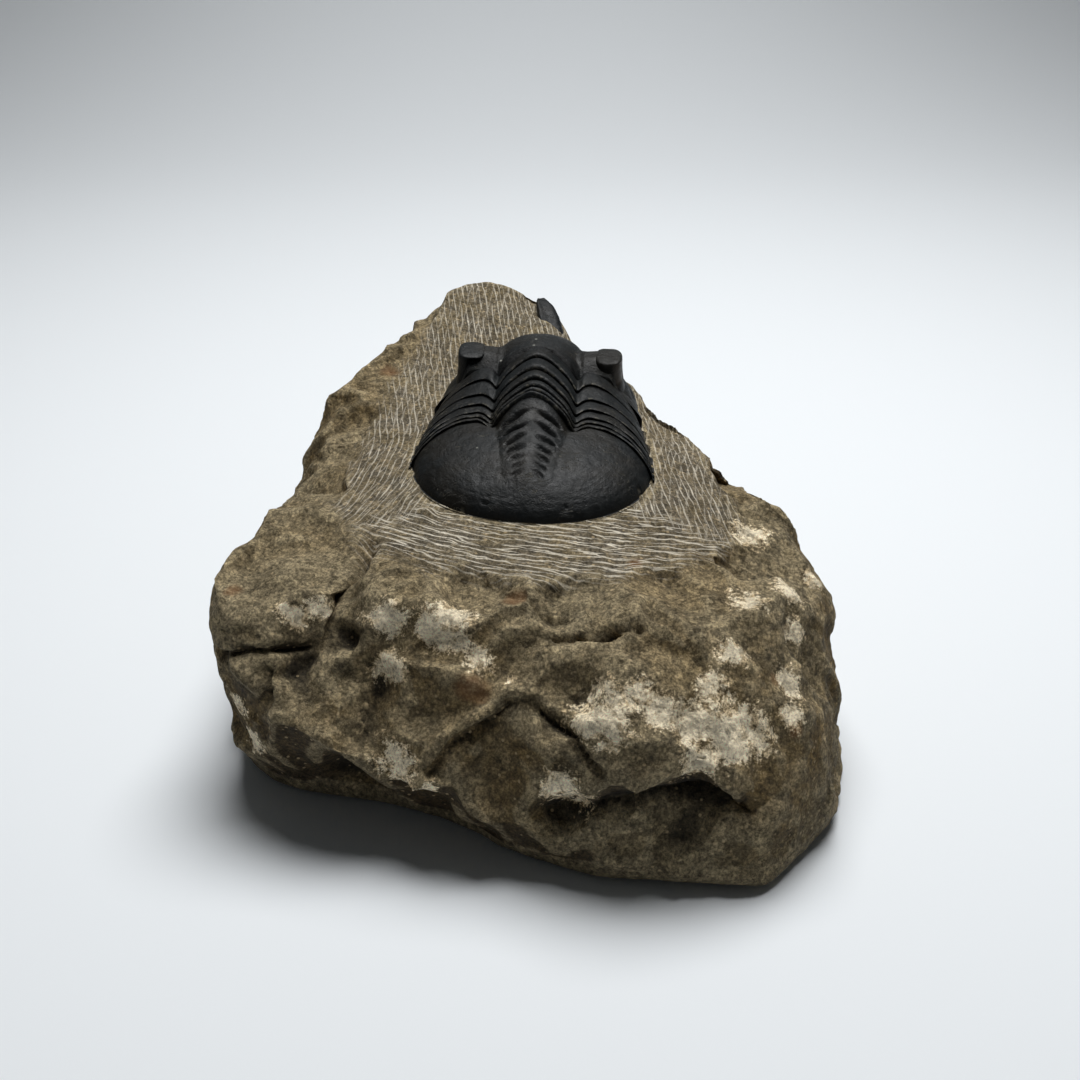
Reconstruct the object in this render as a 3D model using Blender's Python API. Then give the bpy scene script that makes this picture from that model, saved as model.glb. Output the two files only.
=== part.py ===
# Trilobite fossil standing proud of its block of limestone.
# The six-ringed animal lies head away from -Y on a tilted seat cut in the rock; +Z is up, metres.

import bpy
import numpy as np

MM = 0.001
TAU = 2.0 * np.pi
GAP = 0.3                    # clearance between neighbouring pieces, mm
HOME = (-1.401, 0.511)          # point of the outlines below that becomes the row's origin, mm

# ---- block of rock: closed outlines from the cleaned hollow down to the table, (x, y, z) in mm ----

AROUND = 72                  # stations round the block
CENTRE = np.array([0.0, 2.0])
CLEANED = [
    (1, -36, 37.2), (16, -32, 36.6), (28, -24, 36), (32, -13, 36.5), (27, 0, 38.4), (20.5, 10, 39.6),
    (18, 17, 41), (15.9, 26, 42.3), (10.5, 34.5, 43.2), (4.5, 42, 45.6), (0, 47, 48.6), (-7, 48.5, 50.6),
    (-15, 42, 50), (-20.5, 32, 47.5), (-25, 20, 45), (-28.5, 7, 42.5), (-31.5, -6, 40.4), (-31.5, -17, 39),
    (-26, -26, 38), (-15, -33, 37.5)]
BROW = [
    (2, -43, 34.2), (14, -47, 34), (24, -43.5, 33.6), (30, -37, 33.6), (38.5, -29, 32.6), (42.6, -23.5, 31.6),
    (40, -19, 33.6), (37, -11.5, 36), (33, -1, 38.2), (27, 9.5, 38.6), (19.8, 18.5, 39.9), (17.2, 27, 41),
    (12, 37, 42), (6.2, 47, 45), (1.8, 53.5, 50), (-4, 55.5, 51.4), (-10.5, 55, 52.3), (-19, 47, 51),
    (-26, 36, 48.4), (-33.5, 23, 45.8), (-36.5, 15, 44.2), (-37.3, 4, 38.6), (-40.5, -5, 37), (-44.3, -19, 37.6),
    (-48, -28, 36.2), (-46.5, -36, 33.5), (-38, -39, 33), (-29, -35, 32.4), (-24, -39.5, 34.2),
    (-16, -41.5, 34.4)]
FLANK = [
    (2, -53.5, 26), (14, -56, 26.5), (25, -53.5, 26), (33, -48.5, 25.6), (40, -42, 25), (45, -33, 21),
    (45.6, -22, 24), (42.5, -8, 27), (37, 4, 28), (30.5, 16, 29), (25, 28, 30), (19.5, 40, 31), (13, 51, 34),
    (5, 59, 38), (-8, 61.5, 40), (-20, 56, 39), (-30.5, 44, 36), (-38.5, 30, 33), (-42, 16, 31), (-43.5, 3, 28),
    (-46.5, -10, 27), (-48.5, -21, 27.5), (-50, -30, 25), (-47.5, -37, 23), (-41, -43, 24), (-34, -46.5, 26),
    (-29, -43.5, 24), (-18, -49, 23.5), (-8, -52, 23.5)]
LIP = [
    (0, -58.6, 10), (8, -60.6, 16), (19, -61.2, 18.8), (27, -59, 17.6), (34, -56.5, 14), (40.5, -50, 12),
    (45, -43, 9), (47.4, -30, 8.5), (46.8, -14, 11), (44, 2, 13), (40, 17, 14), (33, 32, 14), (24, 46, 15),
    (13, 57, 17), (-1, 62.5, 20), (-15, 60, 20), (-29, 51, 18), (-39.5, 38, 15), (-45, 22, 13), (-48, 5, 12),
    (-50.5, -10, 12), (-51, -23, 10), (-48, -33, 10.5), (-43.5, -40, 12.5), (-36, -46, 17.6), (-27, -49.8, 16.6),
    (-17, -53, 13), (-8.5, -56.4, 9.6)]
FOOT = [
    (3, -55, 0), (8, -57.5, 0), (22, -59, 0), (32, -60, 0), (43.5, -45, 0), (48.4, -31, 0), (47.5, -14, 0),
    (43.5, 4, 0), (37.5, 20, 0), (30, 35, 0), (20, 49, 0), (8, 57, 0), (-6, 59.5, 0), (-21, 54, 0), (-33, 41, 0),
    (-41, 24, 0), (-45.5, 6, 0), (-47.8, -12, 0), (-46, -29, 0), (-41, -35, 0), (-33.5, -38, 0), (-24, -40, 0),
    (-15, -43, 0), (-8.5, -47, 0), (-2.5, -51.5, 0)]

# ---- the animal's own axes: u across, v from the tail to the head, w up from its seat; mm ----

SEAT_AT = (-1.1, -3.0, 41.3)   # where u = v = w = 0 stands in the block
HEADING = np.radians(-3.5)
SEAT_RISE = 0.09               # the seat climbs towards the head
SEAT_ROLL = -0.03              # and drops a little to the right
SEAT_MARGIN = 1.2              # flat rock left showing round the animal

TAIL_V = -19.0
HEAD_V = 36.0
HALF_WIDTH = 19.3
RING_V = (1.2, 2.4, 3.8, 5.8, 8.3, 12.0, 16.7)   # joints on the back, pygidium to cephalon
AXIS_HALF = 6.5                # half width of the raised middle lobe
AXIS_VAULT = 3.0
EDGE_RISE = 1.0                # height of the shell's margin over the seat
EYE_AT = (11.6, 19.2)
EYE_SIZE = (2.3, 3.0)
EYE_TOP = 10.0


def clear_startup():
    # the new file's own objects go first
    for thing in list(bpy.data.objects):
        bpy.data.objects.remove(thing, do_unlink=True)


def material(name, colour, roughness):
    # one plain surface per slot
    made = bpy.data.materials.new(name)
    made.use_nodes = True
    shader = made.node_tree.nodes["Principled BSDF"]
    shader.inputs["Base Color"].default_value = (*colour, 1.0)
    shader.inputs["Roughness"].default_value = roughness
    return made


def solid(name, points, faces, slot):
    # points in mm in the block's axes
    metres = (np.asarray(points) - [HOME[0], HOME[1], 0.0]) * MM
    mesh = bpy.data.meshes.new(name)
    mesh.from_pydata(metres.tolist(), [], faces)
    mesh.materials.append(slot)
    mesh.validate()
    mesh.update()
    made = bpy.data.objects.new(name, mesh)
    bpy.context.scene.collection.objects.link(made)
    return made


def crossing(outline, angles):
    # where level rays from the block's centre cross a closed outline that runs straight between corners
    corner = np.array(outline, float)
    bearing = np.arctan2(corner[:, 1] - CENTRE[1], corner[:, 0] - CENTRE[0]) % TAU
    order = np.argsort(bearing)
    corner, bearing = corner[order], bearing[order]
    corner = np.vstack([corner[-1:], corner, corner[:1]])
    bearing = np.concatenate([bearing[-1:] - TAU, bearing, bearing[:1] + TAU])
    at = np.searchsorted(bearing, angles, side="right") - 1
    start, step = corner[at], corner[at + 1] - corner[at]
    ray = np.stack([np.cos(angles), np.sin(angles)], 1)
    off = start[:, :2] - CENTRE
    t = -(off[:, 0] * ray[:, 1] - off[:, 1] * ray[:, 0]) / (step[:, 0] * ray[:, 1] - step[:, 1] * ray[:, 0])
    return start + t[:, None] * step


def placed(u, v, w):
    # the animal's axes set into the block's
    u, v, w = np.broadcast_arrays(u, v, w)
    x = SEAT_AT[0] + u * np.cos(HEADING) - v * np.sin(HEADING)
    y = SEAT_AT[1] + u * np.sin(HEADING) + v * np.cos(HEADING)
    z = SEAT_AT[2] + SEAT_ROLL * u + SEAT_RISE * v + w
    return np.stack([x, y, z], -1)


def half_width(v):
    # half ellipse behind, slow taper along the thorax, rounder half ellipse in front
    v = np.asarray(v, float)
    rear = HALF_WIDTH * np.sqrt(np.clip(1.0 - (np.minimum(v, 0.0) / TAIL_V) ** 2, 0.0, 1.0))
    taper = HALF_WIDTH - 0.0085 * np.clip(v, 0.0, 17.0) ** 2
    front = np.sqrt(np.clip(1.0 - (np.maximum(v - 17.0, 0.0) / (HEAD_V - 17.0)) ** 2.2, 0.0, 1.0))
    return np.where(v < 0.0, rear, taper * front)


def joint_line(u, ring_v):
    # the seam between two rings: bowed back beside the middle lobe and swept back at the tips
    side = np.abs(u)
    bow = 1.6 * np.clip(side / AXIS_HALF, 0.0, 1.0) ** 2
    forward = 0.8 * np.clip((side - AXIS_HALF) / 3.0, 0.0, 1.0)
    sweep = 3.2 * np.clip((side - 12.0) / 7.5, 0.0, 1.2) ** 1.5
    return ring_v - bow + forward - sweep


def arch(u, v):
    # side to side the shell is a flattened arch with a rounded lobe along its middle
    width = np.maximum(half_width(np.clip(v, 0.0, 17.0)), 1.0)
    crown = np.interp(v, [0.0, 12.0, 20.0], [7.3, 8.3, 8.6])
    side = np.clip(np.abs(u) / width, 0.0, 1.0)
    flat = crown * (1.0 - side ** 2.2) ** 0.556
    lobe = AXIS_VAULT * np.sqrt(np.clip(1.0 - (u / AXIS_HALF) ** 2, 0.0, 1.0))
    return np.maximum(flat + lobe, EDGE_RISE)


def pygidium_height(u, v):
    # quarter dome with a tapering ringed lobe
    reach = (u / HALF_WIDTH) ** 2 + (np.clip(1.2 - v, 0.0, None) / (1.2 - TAIL_V)) ** 2
    dome = 7.3 * np.sqrt(np.clip(1.0 - reach, 0.0, 1.0))
    along = np.clip((1.2 - v) / 17.0, 0.0, 1.0)
    half = 6.0 - 3.4 * along
    lobe = (2.9 - 1.9 * along) * np.sqrt(np.clip(1.0 - (u / half) ** 2, 0.0, 1.0)) * (along < 1.0)
    return np.maximum(dome + lobe, EDGE_RISE)


def cephalon_height(u, v):
    # cheeks fall to the margin; the glabella swells forward; an eye stands on each side
    reach = (v - 17.0) / (HEAD_V - 17.0)
    width = np.maximum(half_width(v), 1.0)
    side = np.clip(np.abs(u) / width, 0.0, 1.0)
    front = np.sqrt(np.clip(1.0 - np.clip(reach, 0.0, 1.0) ** 2.4, 0.0, 1.0))
    cheek = 7.6 * (1.0 - side ** 2.2) ** 0.6 * front
    swell = (u / (7.2 + 2.2 * np.clip(reach, 0.0, 0.5) * 2.0)) ** 2 + (np.clip(reach - 0.15, 0.0, None) / 0.72) ** 2
    glabella = 3.9 * np.sqrt(np.clip(1.0 - swell, 0.0, 1.0))
    eye = np.sqrt(((np.abs(u) - EYE_AT[0]) / EYE_SIZE[0]) ** 2 + ((v - EYE_AT[1]) / EYE_SIZE[1]) ** 2)
    tower = (EYE_TOP - EDGE_RISE) * np.clip((1.45 - eye) / 0.45, 0.0, 1.0)
    return np.maximum(np.maximum(cheek + glabella, tower), EDGE_RISE)


def shield(name, outline, middle, height, rings, slot):
    # rings of points close in from the outline to the middle; below is a flat base just off the seat
    count = len(outline)
    share = np.sin(np.linspace(0.0, 1.0, rings + 1)[1:] * np.pi / 2.0)[::-1]
    plan = middle + share[:, None, None] * (outline - middle)
    top = placed(plan[..., 0], plan[..., 1], height(plan[..., 0], plan[..., 1])).reshape(-1, 3)
    base = placed(outline[:, 0], outline[:, 1], GAP)
    peak = placed(middle[0], middle[1], height(middle[0], middle[1]))
    under = placed(middle[0], middle[1], GAP)
    points = np.vstack([base, top, peak, under])
    faces = []
    for k in range(rings):
        for j in range(count):
            n = (j + 1) % count
            a, b = k * count, (k + 1) * count
            faces.append((a + j, a + n, b + n, b + j))
    last = rings * count
    for j in range(count):
        n = (j + 1) % count
        faces.append((last + j, last + n, last + count))
        faces.append((n, j, last + count + 1))
    return solid(name, points, faces, slot)


def margin(start_u, front):
    # the curved free edge of a shield, from one back corner round to the other
    turn = np.linspace(0.0, np.pi, 33)[1:-1]
    if front:
        corner_v = float(joint_line(start_u, RING_V[-1])) + GAP / 2.0
        v = 17.0 + (HEAD_V - 17.0) * np.sin(turn)
        u = half_width(v) * np.where(turn < np.pi / 2.0, 1.0, -1.0)
        u[len(turn) // 2] = 0.0
        edge = [(start_u, corner_v), *zip(u, v), (-start_u, corner_v)]
    else:
        corner_v = float(joint_line(start_u, RING_V[0])) - GAP / 2.0
        low = np.arcsin(np.clip(corner_v / TAIL_V, 0.0, 1.0))
        turn = np.linspace(np.pi - low, low, 35)[1:-1]
        edge = [(-start_u, corner_v), *zip(HALF_WIDTH * np.cos(turn), TAIL_V * np.sin(turn)), (start_u, corner_v)]
    return np.array(edge)


def shield_outline(start_u, front):
    # free edge, then straight back across the joint with the thorax
    edge = margin(start_u, front)
    across = np.linspace(-start_u, start_u, 21)[1:-1]
    if front:
        back = np.stack([across, joint_line(across, RING_V[-1]) + GAP / 2.0], 1)
    else:
        back = np.stack([across[::-1], joint_line(across[::-1], RING_V[0]) - GAP / 2.0], 1)
    return np.vstack([edge, back])


def tergite(name, rear_v, front_v, slot):
    # a bent strip: the same five-cornered section carried from tip to tip
    tip = float(half_width((rear_v + front_v) / 2.0 - 2.4))
    u = tip * np.sin(np.linspace(-1.0, 1.0, 33) * np.pi / 2.0)
    rear = joint_line(u, rear_v) + GAP / 2.0
    front = joint_line(u, front_v) - GAP / 2.0
    middle = (rear + front) / 2.0
    section = [
        placed(u, rear, GAP), placed(u, rear, arch(u, rear_v) + 0.1),
        placed(u, middle, arch(u, (rear_v + front_v) / 2.0) + 0.35),
        placed(u, front, arch(u, front_v) - 0.25), placed(u, front, GAP)]
    points = np.stack(section, 1).reshape(-1, 3)
    size = len(section)
    faces = [tuple(range(size))]
    for k in range(len(u) - 1):
        for j in range(size):
            n = (j + 1) % size
            a = k * size
            faces.append((a + j, a + size + j, a + size + n, a + n))
    last = (len(u) - 1) * size
    faces.append(tuple(last + j for j in reversed(range(size))))
    return solid(name, points, faces, slot)


def seat_outline(angles):
    # edge of the flat seat: the animal's plan with a margin, as an outline round the block's centre
    v = TAIL_V + (HEAD_V - TAIL_V) * (1.0 - np.cos(np.linspace(0.0, np.pi, 40))) / 2.0
    right = np.stack([half_width(v) + SEAT_MARGIN, v], 1)
    right[0] = (0.0, TAIL_V - SEAT_MARGIN)
    right[-1] = (0.0, HEAD_V + SEAT_MARGIN)
    left = right[-2:0:-1] * [-1.0, 1.0]
    plan = np.vstack([right, left])
    return crossing(placed(plan[:, 0], plan[:, 1], 0.0), angles)


def rock_rings(angles):
    # every ring of the block from the seat down to the table
    seat = seat_outline(angles)
    cleaned, brow = crossing(CLEANED, angles), crossing(BROW, angles)
    flank, lip, foot = crossing(FLANK, angles), crossing(LIP, angles), crossing(FOOT, angles)
    return [
        seat, cleaned, brow, 0.45 * brow + 0.55 * flank, flank, 0.5 * flank + 0.5 * lip, lip,
        0.45 * lip + 0.55 * foot, foot]


def rock(slot):
    # rings stacked round the block, closed by the flat seat above and the flat rest below
    angles = np.arange(AROUND) * TAU / AROUND
    rings = rock_rings(angles)
    points = np.vstack(rings)
    count = AROUND
    faces = []
    for k in range(len(rings) - 1):
        for j in range(count):
            n = (j + 1) % count
            faces.append((k * count + j, (k + 1) * count + j, (k + 1) * count + n, k * count + n))
    faces.append(tuple(range(count)))
    last = (len(rings) - 1) * count
    faces.append(tuple(last + j for j in reversed(range(count))))
    return solid("matrix_rock", points, faces, slot)


def shell_fragment(slot):
    # a strip of another shell bent over the right shoulder of the crest
    angles = np.radians([81.5, 84.0, 86.5, 89.0])
    seat, cleaned, brow, shoulder = rock_rings(angles)[:4]
    track = np.stack([brow + 0.30 * (cleaned - brow), brow, brow + 0.42 * (shoulder - brow)], 1)
    out = np.array([0.70, 0.0, 0.71])
    low, high = track + 0.5 * out, track + 1.7 * out
    points = np.concatenate([low, high[:, ::-1]], 1).reshape(-1, 3)
    size = 6
    faces = [tuple(range(size))]
    for k in range(len(angles) - 1):
        for j in range(size):
            n = (j + 1) % size
            a = k * size
            faces.append((a + j, a + size + j, a + size + n, a + n))
    last = (len(angles) - 1) * size
    faces.append(tuple(last + j for j in reversed(range(size))))
    return solid("shell_fragment", points, faces, slot)


clear_startup()
limestone = material("limestone", (0.20, 0.165, 0.115), 0.9)
calcite = material("black_calcite", (0.022, 0.026, 0.027), 0.45)

rock(limestone)
shield("pygidium", shield_outline(HALF_WIDTH - 0.15, False), np.array([0.0, -3.0]), pygidium_height, 9, calcite)
for index in range(len(RING_V) - 1):
    number = len(RING_V) - 1 - index
    tergite(f"thorax_segment_{number}", RING_V[index], RING_V[index + 1], calcite)
shield("cephalon", shield_outline(float(half_width(14.5)), True), np.array([0.0, 22.0]), cephalon_height, 12, calcite)
shell_fragment(calcite)
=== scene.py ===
import math
from functools import partial
import bpy
import numpy as np
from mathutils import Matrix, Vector


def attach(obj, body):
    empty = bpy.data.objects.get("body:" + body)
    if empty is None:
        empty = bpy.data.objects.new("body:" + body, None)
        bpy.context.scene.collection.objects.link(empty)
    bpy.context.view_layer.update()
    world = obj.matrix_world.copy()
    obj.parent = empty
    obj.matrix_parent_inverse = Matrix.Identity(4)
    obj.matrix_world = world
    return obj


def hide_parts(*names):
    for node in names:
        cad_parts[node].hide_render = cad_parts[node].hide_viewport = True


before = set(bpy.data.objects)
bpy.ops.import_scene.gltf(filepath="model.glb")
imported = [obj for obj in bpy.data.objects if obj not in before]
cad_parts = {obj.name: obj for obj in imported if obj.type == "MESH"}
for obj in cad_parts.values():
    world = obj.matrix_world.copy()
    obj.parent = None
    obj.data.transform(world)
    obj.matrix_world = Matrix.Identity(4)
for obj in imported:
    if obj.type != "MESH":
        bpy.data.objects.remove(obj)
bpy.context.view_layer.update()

mm = 0.001
turn = 2 * math.pi
homePoint = np.array([-1.401, 0.511, 0])  # the outlines' point that is the origin of the finished model, mm
print("frame loaded:", len(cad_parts), "nodes")


def hexColour(code):
    # sRGB hex to linear: each channel by the display curve
    raw = np.array([int(code[i:i + 2], 16) for i in (1, 3, 5)]) / 255
    value = np.where(raw <= 0.04045, raw / 12.92, ((raw + 0.055) / 1.055) ** 2.4)
    return (*[float(v) for v in value], 1)


def ease(low, high, value):
    # nought below low, one above high, an s-curve between
    t = unit((value - low) / (high - low))
    return t * t * (3 - 2 * t)


def unit(value):
    # held between nought and one
    return np.clip(value, 0, 1)


def bell(value):
    # one at nought, falling away on both sides as e to minus the square
    return np.exp(-value ** 2)


def joined(*parts):
    # separate coordinates, any of them a single number, made into one array of points
    return np.stack(np.broadcast_arrays(*parts), -1)


def relaxed(line, passes):
    # each inner point drawn towards the mean of its two neighbours
    for _ in range(passes):
        line[1:-1] = 0.5 * line[1:-1] + 0.25 * (line[:-2] + line[2:])
    return line


def scrambled(x, y, z, seed):
    # whole numbers mixed into one steady value for each lattice corner
    wrap = np.int64(0xffffffff)
    h = (x * 374761393 + y * 668265263 + z * 1440662683 + seed * 1274126177) & wrap
    h = ((h ^ (h >> 13)) * 1103515245) & wrap
    h = ((h ^ (h >> 16)) * 668265263) & wrap
    return h ^ (h >> 15)


def ripple(points, size, seed):
    # gradient noise from -1 to 1: corner slopes blended by a quintic fade, features of one size
    p = points / size
    cell = np.floor(p).astype(np.int64)
    part = p - cell
    fade = part ** 3 * (part * (part * 6 - 15) + 10)
    total = np.zeros(p.shape[:-1])
    for corner in range(8):
        dx, dy, dz = corner & 1, (corner >> 1) & 1, corner >> 2
        h = scrambled(cell[..., 0] + dx, cell[..., 1] + dy, cell[..., 2] + dz, seed)
        slope = ((h & 1023) * (part[..., 0] - dx) + ((h >> 10) & 1023) * (part[..., 1] - dy)
                 + ((h >> 20) & 1023) * (part[..., 2] - dz)) / 511.5
        slope -= part.sum(-1) - (dx + dy + dz)
        weight = np.abs(1 - dx - fade[..., 0]) * np.abs(1 - dy - fade[..., 1]) * np.abs(1 - dz - fade[..., 2])
        total += weight * slope
    return total * 1.5


def layered(points, size, octaves, seed, gain=0.5):
    # several ripples added, each half the size and gain times the strength of the last
    total, strength = 0, 1
    for k in range(octaves):
        total = total + strength * ripple(points, size * 0.5 ** k, seed + 17 * k)
        strength *= gain
    return total


def breaks(points, size, seed, tilt=1.3, bowl=0.3):
    # broken stone: lower envelope of nearly flat planes, one in each jittered cell, each leaning its own way
    p = points / size
    cell = np.floor(p).astype(np.int64)
    best = np.full(p.shape[:-1], 9)
    for k in range(27):
        near = cell + np.array([k % 3 - 1, (k // 3) % 3 - 1, k // 9 - 1])
        h = scrambled(near[..., 0], near[..., 1], near[..., 2], seed)
        g = scrambled(near[..., 0], near[..., 1], near[..., 2], seed + 71)
        spot = np.stack([h & 1023, (h >> 10) & 1023, (h >> 20) & 1023], -1) / 1023
        lean = np.stack([g & 1023, (g >> 10) & 1023, (g >> 20) & 1023], -1) / 511.5 - 1
        off = p - near - spot
        best = np.minimum(best, bowl * (off * off).sum(-1) + tilt * (off * lean).sum(-1))
    return best


def nearPath(points, path):
    # distance from every point to a line of straight runs
    best = np.full(points.shape[:-1], 1e9)
    path = np.array(path, float)
    for start, end in zip(path[:-1], path[1:]):
        run = end - start
        t = unit(((points - start) @ run) / (run @ run))
        best = np.minimum(best, np.linalg.norm(points - start - t[..., None] * run, axis=-1))
    return best


def softened(grid, passes, ringsToo=True):
    # each point drawn towards the mean of its neighbours, round the ring and from ring to ring
    for _ in range(passes):
        grid = 0.5 * grid + 0.25 * (np.roll(grid, 1, 1) + np.roll(grid, -1, 1))
        if ringsToo:
            inner = 0.5 * grid[1:-1] + 0.25 * (grid[:-2] + grid[2:])
            grid = np.concatenate([grid[:1], inner, grid[-1:]])
    return grid


def gridNormals(grid):
    # cross product of the step round the ring with the step to the next ring
    along = np.gradient(grid, axis=0)
    across = (np.roll(grid, -1, 1) - np.roll(grid, 1, 1)) / 2
    normal = np.cross(along, across)
    return normal / np.maximum(np.linalg.norm(normal, axis=-1, keepdims=True), 1e-9)


def ringFaces(rings, count, first=0):
    # four-cornered faces between closed rings of equal count, stored one after the other
    k = np.arange(rings - 1)[:, None] * count + first
    j = np.arange(count)[None]
    n = (j + 1) % count
    return np.stack([k + j, k + count + j, k + count + n, k + n], -1).reshape(-1, 4)


def fan(ring, pole, count, outward):
    # three-cornered faces from a ring to one closing point
    j = np.arange(count)
    n = (j + 1) % count
    pair = (ring + j, ring + n) if outward else (ring + n, ring + j)
    return np.stack([*pair, np.full(count, pole)], -1)


def placeObject(name, data):
    thing = bpy.data.objects.new(name, data)
    bpy.context.scene.collection.objects.link(thing)
    return thing


def makePiece(name, points, faces, finish, replaced, marks, crease=None):
    # mm points in the outlines' axes become a smooth-shaded mesh riding on the one body
    mesh = bpy.data.meshes.new(name)
    place = (points - homePoint) * mm
    mesh.from_pydata(place.tolist(), [], [f for group in faces for f in group.tolist()])
    mesh.shade_smooth()
    if crease:
        mesh.set_sharp_from_angle(angle=math.radians(crease))
    for key, value in marks.items():
        wide = np.ndim(value) == 2
        layer = mesh.attributes.new(key, "FLOAT_VECTOR" if wide else "FLOAT", "POINT")
        layer.data.foreach_set("vector" if wide else "value", np.ascontiguousarray(value, dtype=np.float32).ravel())
    mesh.materials.append(finish)
    mesh.update()
    piece = placeObject(name, mesh)
    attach(piece, "root")
    if replaced:
        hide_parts(*replaced)
    print("made", name, len(mesh.vertices), "points")


def makeShell(name, points, faces, finish, replaced, **marks):
    # a piece of black shell; a mark that isn't given is nought all over
    blank = np.zeros(len(points))
    marks = {key: marks.get(key, blank) for key in ("growth", "worn", "deep", "lens")}
    makePiece(name, points, faces, finish, replaced, marks)


def tubeFaces(rows, count):
    # a run of closed rings whose first and last are each drawn in to a point
    total = rows * count
    return [ringFaces(rows, count), fan(0, total, count, True), fan(total - count, total + 1, count, False)]


def put(tree, kind, *values, out=0, **settings):
    # adds one node and gives one output: settings are its properties, and its inputs are filled in order or by name
    node = tree.nodes.new("ShaderNode" + kind)
    for key, value in settings.items():
        setattr(node, key, value)
    byName = values and isinstance(values[0], dict)
    for socket, value in values[0].items() if byName else enumerate(values):
        if isinstance(value, bpy.types.NodeSocket):
            tree.links.new(value, node.inputs[socket])
        else:
            node.inputs[socket].default_value = hexColour(value) if isinstance(value, str) else value
    return node.outputs[out]


# settings that many nodes share, and the ends of a range that is always at its full strength
times, plus, less, larger = [dict(operation=name) for name in ("MULTIPLY", "ADD", "SUBTRACT", "MAXIMUM")]
timesPlus = dict(operation="MULTIPLY_ADD")
gradual = dict(interpolation_type="SMOOTHSTEP")
tinted = dict(out=2, data_type="RGBA")
always = (1, 0, 1)


def washed(add, look, colour, rows):
    # shades laid one over another: the shade, the value that decides it, from and to, its strength, where it may lie
    for shade, value, low, high, strength, within in rows:
        amount = add("Math", add("MapRange", value, low, high, 0, strength, **gradual), within, **times)
        colour = add("Mix", {0: amount, 6: colour, 7: look.get(shade, shade)}, **tinted)
    return colour


def newFinish(name):
    # an empty material with its shader ready
    finish = bpy.data.materials.new(name)
    finish.use_nodes = True
    return finish, finish.node_tree, finish.node_tree.nodes["Principled BSDF"]


animal = dict(
    seatAt=(-1.1, -3, 41.3), heading=-3.5, seatRise=0.09, seatRoll=-0.03,
    tail=-19, head=36, cheekBack=17, halfWidth=19.3, taper=0.0085,
    joints=(1.2, 2.3, 3.8, 6.2, 9.2, 12.9, 16.8),
    shieldFloor=-1.4, axisHalf=6.3, axisVault=3.8, shoulder=1.2, furrowDepth=0.45, tailPowers=(2.2, 2.5),
    bow=2.9, sweep=5.2)


def placed(u, v, w):
    # u across, v towards the head, w up from the tilted seat, set into the block's axes
    x0, y0, z0 = animal["seatAt"]
    a = math.radians(animal["heading"])
    return joined(
        x0 + u * math.cos(a) - v * math.sin(a),
        y0 + u * math.sin(a) + v * math.cos(a),
        z0 + animal["seatRoll"] * u + animal["seatRise"] * v + w)


def halfWidth(v):
    # rounded half box behind, slow taper along the thorax, rounder half ellipse in front
    v = np.asarray(v, float)
    back, full = animal["cheekBack"], animal["halfWidth"]
    over, along = animal["tailPowers"]
    rear = full * unit(1 - (np.minimum(v, 0) / animal["tail"]) ** along) ** (1 / over)
    taper = full - animal["taper"] * np.clip(v, 0, back) ** 2
    reach = np.maximum(v - back, 0) / (animal["head"] - back)
    return np.where(v < 0, rear, taper * np.sqrt(unit(1 - reach ** 2.2)))


def jointLine(u, ringV):
    # seam between two rings: bowed back beside the middle lobe, swept back at the tips
    side = np.abs(u)
    bow = animal["bow"] * unit(side / animal["axisHalf"]) ** 2
    forward = 2.1 * ease(0, 3, side - animal["axisHalf"])
    sweep = animal["sweep"] * np.clip((side - 11.5) / 7.8, 0, 1.2) ** 1.7
    return ringV - bow + forward - sweep


def archHeight(u, v):
    # flattened arch from side to side with a rounded middle lobe and a furrow on each side of it
    width = np.maximum(halfWidth(np.clip(v, 0, 17)), 1)
    crown = np.interp(v, [0, 12, 20], [7.3, 8.3, 8.6])
    flat = (crown - 0.8) * (1 - unit(np.abs(u) / width) ** 2.9) ** 0.62
    half = animal["axisHalf"]
    lobe = animal["axisVault"] * unit((1.075 - np.sqrt((u / (half + 0.2)) ** 2 + 0.09)) / 0.775) ** 0.95
    furrow = animal["furrowDepth"] * bell((np.abs(u) - half - 0.2) / 0.75)
    rise = animal["shoulder"] * ease(8, 17, v) * ease(14.5, 9.5, np.abs(u)) * ease(5.5, 8, np.abs(u))
    return flat + lobe + rise - furrow


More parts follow.
